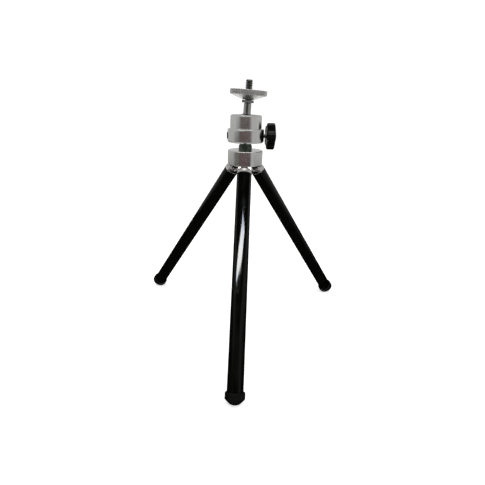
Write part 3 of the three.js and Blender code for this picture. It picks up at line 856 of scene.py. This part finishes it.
def make_disc():
    rim = DISC_TOP - DISC_RIM
    profile = rounded([
        (STUD_BORE, DISC_TOP, 0),
        (STUD_BORE, DISC_BASE, 0.1),
        (4.85, DISC_BASE, 0.2),
        (DISC_RADIUS - 0.75, rim - 0.1, 0.1),
        (DISC_RADIUS, rim + 0.35, 0.15),
        (DISC_RADIUS, DISC_TOP - 0.35, 0.15),
        (DISC_RADIUS - 0.45, DISC_TOP, 0.15),
        (6.2, DISC_TOP, 0.1),
        (5.9, DISC_TOP - 0.3, 0.1),
        (STUD_BORE + 0.4, DISC_TOP - 0.3, 0.1),
        (STUD_BORE, DISC_TOP, 0),
    ])[:-1]
    disc = lathe(
        "locking_disc_knurled", profile, KNURLS * 8, closed=True, shape=disc_shape, matrix=STEM_PLACE)
    return place(disc, "disc", disc_aluminium, "turned_aluminium", "locking_disc")


def make_stud():
    stud = threaded_rod(
        "camera_stud_thread", STUD_RADIUS, STUD_RADIUS - STUD_THREAD_DEPTH, STUD_PITCH,
        STEM_TOP + 0.03, STUD_TOP, tip_low=0.5, tip_high=0.8, matrix=STEM_PLACE)
    return place(stud, "stud", zinc_steel, "zinc_steel", "camera_stud")


# ------------------------------------------------------------------ legs

# Distances down the leg from its hinge pin.
DOME_TOP = 5.1
PLUG_SHOULDER = 9.1
FERRULE_BASE = 11.05
TUBE_TOP = 11.1
PLUG_END = 31.8
FOOT_TOP = 188.4
TUBE_END = 192.4
FOOT_COLLAR_END = 193.3
FOOT_END = 197.5

TUBE_WALL = 0.8
TUBE_BORE = LEG_RADIUS - TUBE_WALL
DOME_RADIUS = 6.65
DOME_FULLNESS = 0.82
BEAD = 0.6
FOOT_RADIUS = 7.85
TONGUE_HALF_WIDTH = 3.0
TONGUE_HALF_DEPTH = 3.3


def make_tube(name):
    profile = rounded([
        (TUBE_BORE, -TUBE_END + 20, 0),
        (TUBE_BORE, -TUBE_END, 0.1),
        (LEG_RADIUS, -TUBE_END, 0.25),
        (LEG_RADIUS, -TUBE_TOP, 0.3),
        (TUBE_BORE, -TUBE_TOP, 0.1),
        (TUBE_BORE, -TUBE_TOP - 20, 0),
    ])
    tube = lathe(f"leg_tube_{name}_lacquered", profile, 128, closed=True, matrix=leg_place(name))
    return place(tube, f"leg_{name}", gloss_black[name], "gloss_black", f"leg_tube_{name}")


def make_ferrule(name):
    roof = -PLUG_SHOULDER + 0.3
    profile = [(0, roof), (TUBE_BORE, roof), (TUBE_BORE, -FERRULE_BASE)]
    for step in range(9):
        angle = math.radians(-85 + 165 * step / 8)
        radius = DOME_RADIUS - BEAD + BEAD * math.cos(angle)
        profile.append((radius, BEAD * (1 + math.sin(angle)) - FERRULE_BASE))
    dome_base = 2 * BEAD - FERRULE_BASE
    for step in range(25):
        angle = math.pi / 2 * step / 24
        radius = (DOME_RADIUS - 0.3) * math.cos(angle) ** DOME_FULLNESS
        rise = math.sin(angle) ** DOME_FULLNESS
        profile.append((radius, dome_base + (-DOME_TOP - dome_base) * rise))
    profile[-1] = (0, -DOME_TOP)
    ferrule = lathe(f"leg_ferrule_{name}_domed", profile, 128, matrix=leg_place(name))
    half_depth = TONGUE_HALF_DEPTH + 0.3
    half_width = TONGUE_HALF_WIDTH + 0.3
    cut(ferrule, block(
        "slot", (-half_depth, -half_width, roof - 1), (half_depth, half_width, 0), leg_place(name)))
    return place(ferrule, f"leg_{name}", ferrule_chrome, "chromed_steel", f"leg_ferrule_{name}")


def make_tongue(name):
    shoulder = -PLUG_SHOULDER
    plug_radius = TUBE_BORE - 0.3
    profile = rounded([
        (0, -PLUG_END, 0), (plug_radius, -PLUG_END, 0.5), (plug_radius, shoulder, 0.3), (0, shoulder, 0)])
    tongue = lathe(f"leg_tongue_{name}_moulded", profile, 96, matrix=leg_place(name))
    builder = bmesh.new()
    outline = [(-TONGUE_HALF_DEPTH, shoulder - 2), (TONGUE_HALF_DEPTH, shoulder - 2)]
    for step in range(25):
        angle = math.pi * step / 24
        outline.append((TONGUE_HALF_DEPTH * math.cos(angle), TONGUE_HALF_DEPTH * math.sin(angle)))
    sides = []
    for y in (-TONGUE_HALF_WIDTH, TONGUE_HALF_WIDTH):
        sides.append([builder.verts.new((x * MM, y * MM, z * MM)) for x, z in outline])
    builder.faces.new(sides[0])
    builder.faces.new(sides[1])
    for index in range(len(outline)):
        beside = (index + 1) % len(outline)
        builder.faces.new([sides[0][index], sides[0][beside], sides[1][beside], sides[1][index]])
    combine(tongue, bevel(new_object("blade", builder, leg_place(name)), 0.5), "UNION")
    eye = [(0, -5), (PIN_RADIUS + 0.15, -5), (PIN_RADIUS + 0.15, 5), (0, 5)]
    cut(tongue, lathe("eye", eye, 40, matrix=leg_place(name) @ LIE_ALONG_Y))
    return place(tongue, f"leg_{name}", black_plastic, "black_plastic", f"leg_tongue_{name}")


def make_foot(name):
    bore = LEG_RADIUS + 0.06
    profile = rounded([
        (0, -FOOT_END, 0),
        (2.6, -FOOT_END + 0.1, 0),
        (4.1, -FOOT_END + 0.75, 0.5),
        (FOOT_RADIUS, -FOOT_COLLAR_END, 0.8),
        (FOOT_RADIUS, -FOOT_TOP, 1.0),
        (bore, -FOOT_TOP, 0.25),
        (bore, -TUBE_END - 0.3, 0),
        (0, -TUBE_END - 0.3, 0),
    ], 6)
    foot = lathe(f"foot_{name}_rubber", profile, 128, matrix=leg_place(name))
    cut(foot, block("ground", (-1000, -1000, -1000), (1000, 1000, 0)))
    return place(foot, f"leg_{name}", black_rubber, "black_rubber", f"foot_{name}")


# ------------------------------------------------------------------ all the pieces

make_hub()
make_hub_screw()
make_neck()
make_housing()
make_cap()
make_ball_seat()
make_cross_plug()
make_lock_screw()
make_brake_plug()
make_knob()
make_ball()
make_stem()
make_nut()
make_disc()
make_stud()
for leg_name in LEG_NAMES:
    make_pin(leg_name)
    make_tube(leg_name)
    make_ferrule(leg_name)
    make_tongue(leg_name)
    make_foot(leg_name)

# ------------------------------------------------------------------ floor and backdrop

ROOM_RADIUS = 3000
ROOM_HEIGHT = 2600
FLOOR_GLOW = 0.72
BACKDROP_GLOW = 1.1


def plain_material(name, colour, emission):
    material = bpy.data.materials.new(name)
    material.use_nodes = True
    shader = material.node_tree.nodes["Principled BSDF"]
    shader.inputs["Base Color"].default_value = (*colour, 1)
    shader.inputs["Roughness"].default_value = 0.9
    shader.inputs["Specular IOR Level"].default_value = 0.0
    shader.inputs["Emission Color"].default_value = (1, 1, 1, 1)
    shader.inputs["Emission Strength"].default_value = emission
    return material


def make_floor():
    floor = lathe("floor", [(0, 0), (ROOM_RADIUS, 0)], 96)
    floor.data.materials.append(plain_material("floor_white", (0.86, 0.86, 0.86), FLOOR_GLOW))
    floor.visible_glossy = False


def make_backdrop():
    rows = [(ROOM_RADIUS, -1)]
    for step in range(1, 16):
        angle = math.pi / 2 * step / 16
        rows.append((ROOM_RADIUS * math.cos(angle), ROOM_HEIGHT * math.sin(angle)))
    rows.append((0, ROOM_HEIGHT))
    backdrop = lathe("backdrop", rows, 96)
    backdrop.data.materials.append(plain_material("backdrop_white", (0, 0, 0), BACKDROP_GLOW))
    backdrop.visible_diffuse = False
    backdrop.visible_glossy = False
    backdrop.visible_shadow = False


# ------------------------------------------------------------------ reflectors and light


def glowing_sheet(name, points, colours, strength=1.0):
    """A sheet over a grid of points with a glow colour at each, seen only in reflections."""
    builder = bmesh.new()
    layer = builder.verts.layers.float_color.new("glow")
    grid = []
    for line, shades in zip(points, colours):
        row = []
        for point, shade in zip(line, shades):
            vertex = builder.verts.new(point)
            vertex[layer] = (*shade, 1.0)
            row.append(vertex)
        grid.append(row)
    for here, there in zip(grid, grid[1:]):
        for index in range(len(here) - 1):
            builder.faces.new([here[index], here[index + 1], there[index + 1], there[index]])
    sheet = new_object(name, builder)
    material = bpy.data.materials.new(name)
    material.use_nodes = True
    tree = material.node_tree
    tree.nodes.clear()
    shade = tree.nodes.new("ShaderNodeAttribute")
    shade.attribute_name = "glow"
    glow = tree.nodes.new("ShaderNodeEmission")
    glow.inputs["Strength"].default_value = strength
    output = tree.nodes.new("ShaderNodeOutputMaterial")
    tree.links.new(shade.outputs["Color"], glow.inputs["Color"])
    tree.links.new(glow.outputs[0], output.inputs["Surface"])
    sheet.data.materials.append(material)
    sheet.visible_camera = False
    sheet.visible_diffuse = False
    sheet.visible_shadow = False
    return sheet


def around(azimuth, distance, height):
    """A point around the hub's axis. Azimuth 0 is the camera's side, positive towards +X."""
    angle = math.radians(azimuth)
    return (HUB_CENTRE.x + distance * math.sin(angle), HUB_CENTRE.y - distance * math.cos(angle), height)


SIDE_GLOW = (0.42, 0.42, 0.415)
GREY_BROWN = (0.140, 0.125, 0.118)
BROWN = (0.082, 0.064, 0.060)
RED_BROWN = (0.095, 0.056, 0.056)
BLUISH = (0.155, 0.155, 0.185)
PINKISH = (0.44, 0.385, 0.38)
DARK_GREEN = (0.078, 0.073, 0.056)
DARK = (0.02, 0.02, 0.02)
DISC_GLOW = (0.13, 0.127, 0.123)
FLOOR_CARD_GLOW = (0.45, 0.45, 0.445)
UPPER_CARD_GLOW = (0.40, 0.40, 0.395)
STRIP_GLOW = 48.0
CARD_DISTANCE = 0.55
UPPER_DISTANCE = 1.5
STRIP_DISTANCE = 0.9

# The front card's tiers: two heights in metres, then azimuths in degrees with the glow there.
FRONT_TIERS = [
    ((-0.25, 0.112), [
        (-80, SIDE_GLOW), (-66, DARK_GREEN), (-36, DARK_GREEN), (-24, RED_BROWN), (18, RED_BROWN),
        (25, DARK), (36, DARK), (43, SIDE_GLOW), (80, SIDE_GLOW)]),
    ((0.120, 0.150), [
        (-76, SIDE_GLOW), (-60, BLUISH), (-46, BLUISH), (-34, BROWN), (-25, RED_BROWN),
        (15, RED_BROWN), (37, BROWN), (45, PINKISH), (80, SIDE_GLOW)]),
    ((0.158, 0.184), [
        (-80, SIDE_GLOW), (-54, SIDE_GLOW), (-37, GREY_BROWN), (-28, GREY_BROWN), (0, GREY_BROWN),
        (20, GREY_BROWN), (25, GREY_BROWN), (38, SIDE_GLOW), (80, SIDE_GLOW)]),
    ((0.190, 0.214), [
        (-80, SIDE_GLOW), (-50, SIDE_GLOW), (-30, DARK), (-20, DARK), (0, DARK),
        (8, DARK), (16, DARK), (34, SIDE_GLOW), (80, SIDE_GLOW)]),
    ((0.222, 0.330), [
        (-80, SIDE_GLOW), (-52, SIDE_GLOW), (-40, DISC_GLOW), (-30, DISC_GLOW), (0, DISC_GLOW),
        (20, DISC_GLOW), (26, DISC_GLOW), (38, SIDE_GLOW), (80, SIDE_GLOW)]),
]

TURNED_PIECES = ["hub_body_turned", "ball_housing_turned", "housing_cap_turned", "locking_disc_knurled"]
BRIGHT_PIECES = TURNED_PIECES + [
    "neck_turned", "ball_stem_turned", "ball_polished", "jam_nut_hexagon", "camera_stud_thread",
    "lock_screw_thread"]
BRIGHT_PIECES += [f"leg_ferrule_{name}_domed" for name in LEG_NAMES]


def lit_only(sheet, name, pieces):
    """Lets a sheet's glow reach only these pieces."""
    lit = bpy.data.collections.new(name)
    for piece in pieces:
        lit.objects.link(bpy.data.objects[piece])
    sheet.light_linking.receiver_collection = lit


def make_front_card():
    """What the turned metal mirrors in the middle: a dim room with soft edges, in five tiers."""
    points = []
    colours = []
    for heights, stops in FRONT_TIERS:
        for height in heights:
            points.append([around(azimuth, CARD_DISTANCE, height) for azimuth, _ in stops])
            colours.append([shade for _, shade in stops])
    glowing_sheet("card_front", points, colours)


def make_low_cards():
    """A light floor that only the turned metal mirrors, and dark sides low down."""
    steps = range(0, 361, 15)
    rings = (0.0001, 0.1601, 0.3401)
    points = [[around(azimuth, distance, 0.004) for azimuth in steps] for distance in rings]
    sheet = glowing_sheet("card_floor", points, [[FLOOR_CARD_GLOW] * len(steps)] * len(points))
    lit_only(sheet, "lit_by_floor_card", TURNED_PIECES)
    for name, low, high, shade in (("left", -150, -55, 0.02), ("right", 55, 150, 0.13)):
        steps = [low + (high - low) * step / 10 for step in range(11)]
        points = [[around(azimuth, 0.34, height) for azimuth in steps] for height in (0.004, 0.1)]
        glowing_sheet(f"card_{name}", points, [[(shade, shade, shade)] * len(steps)] * len(points))


def make_upper_card():
    """A light ring above the horizon, mirrored in the bright metal only."""
    steps = range(0, 361, 15)
    points = []
    for elevation in (14, 30, 45, 64):
        tilt = math.radians(elevation)
        height = HUB_TOP + UPPER_DISTANCE * math.sin(tilt)
        points.append([around(azimuth, UPPER_DISTANCE * math.cos(tilt), height) for azimuth in steps])
    sheet = glowing_sheet("card_upper", points, [[UPPER_CARD_GLOW] * len(steps)] * len(points))
    lit_only(sheet, "lit_by_upper_card", BRIGHT_PIECES)


# Edges of the strip light in front, as azimuth and elevation from the head, in degrees.
STRIP_LEFT = [
    (2, 49), (0, 47), (-5, 46), (-19, 43), (-33, 38), (-44, 33), (-49, 29), (-55, 25), (-58, 21),
    (-59, 18)]
STRIP_RIGHT = [
    (12, 48), (33, 43), (46, 38), (50, 35), (42, 36), (26, 38), (7, 39), (-9, 37), (-25, 33),
    (-41, 27)]


def make_strip_light():
    """A bent strip light in front and above, mirrored in the front leg."""
    points = []
    for left, right in zip(STRIP_LEFT, STRIP_RIGHT):
        line = []
        for step in range(5):
            azimuth = left[0] + (right[0] - left[0]) * step / 4
            elevation = math.radians(left[1] + (right[1] - left[1]) * step / 4)
            height = HUB_TOP + STRIP_DISTANCE * math.sin(elevation)
            line.append(around(azimuth, STRIP_DISTANCE * math.cos(elevation), height))
        points.append(line)
    cool = [(0.55, 0.62, 0.75)] * 5
    pale = [(0.85, 0.9, 1.0)] * 5
    white = [(1.0, 1.0, 1.0)] * 5
    shades = [cool, cool, pale] + [white] * 5 + [pale, cool]
    sheet = glowing_sheet("strip_light", points, shades, STRIP_GLOW)
    lit_only(sheet, "lit_by_strip", [f"leg_tube_{name}_lacquered" for name in LEG_NAMES])


def make_overhead_light():
    """A soft square lamp above, which isn't mirrored."""
    light = bpy.data.lights.new("overhead", "AREA")
    light.shape = "RECTANGLE"
    light.size = 1.6
    light.size_y = 1.6
    light.energy = 18
    lamp = bpy.data.objects.new("overhead", light)
    bpy.context.scene.collection.objects.link(lamp)
    lamp.location = (0.2, -0.3, 1.6)
    lamp.rotation_mode = "QUATERNION"
    lamp.rotation_quaternion = (-lamp.location).to_track_quat("-Z", "Y")
    lamp.visible_glossy = False


# The world's glow at each elevation in degrees, as a share of WORLD_STRENGTH.
WORLD_STRENGTH = 2.0
WORLD_STOPS = [
    (-60, 0.45), (-21, 0.45), (-14, 0.21), (2, 0.21), (8, 0.30), (16, 0.2), (26, 0.03), (62, 0.03),
    (70, 0.7)]


def make_world():
    """Surroundings by direction: grey at the sides, dim above, bright overhead."""
    world = bpy.data.worlds.new("studio")
    bpy.context.scene.world = world
    world.use_nodes = True
    tree = world.node_tree
    direction = tree.nodes.new("ShaderNodeTexCoord").outputs["Generated"]
    split = tree.nodes.new("ShaderNodeSeparateXYZ")
    tree.links.new(direction, split.inputs[0])
    steps = tree.nodes.new("ShaderNodeValToRGB")
    lift = tree.nodes.new("ShaderNodeMapRange")
    for name, number in (("From Min", -1.0), ("From Max", 1.0), ("To Min", 0.0), ("To Max", 1.0)):
        lift.inputs[name].default_value = number
    tree.links.new(split.outputs[2], lift.inputs["Value"])
    tree.links.new(lift.outputs["Result"], steps.inputs["Fac"])
    ramp = steps.color_ramp
    while len(ramp.elements) < len(WORLD_STOPS):
        ramp.elements.new(0.5)
    for element, (elevation, shade) in zip(ramp.elements, WORLD_STOPS):
        element.position = (math.sin(math.radians(elevation)) + 1) / 2
        element.color = (shade, shade, shade * 0.985, 1)
    background = tree.nodes["Background"]
    tree.links.new(steps.outputs["Color"], background.inputs["Color"])
    background.inputs["Strength"].default_value = WORLD_STRENGTH


make_floor()
make_backdrop()
make_world()
make_front_card()
make_low_cards()
make_upper_card()
make_strip_light()
make_overhead_light()

scene = bpy.context.scene
scene.view_settings.view_transform = "Standard"
scene.view_settings.look = "None"
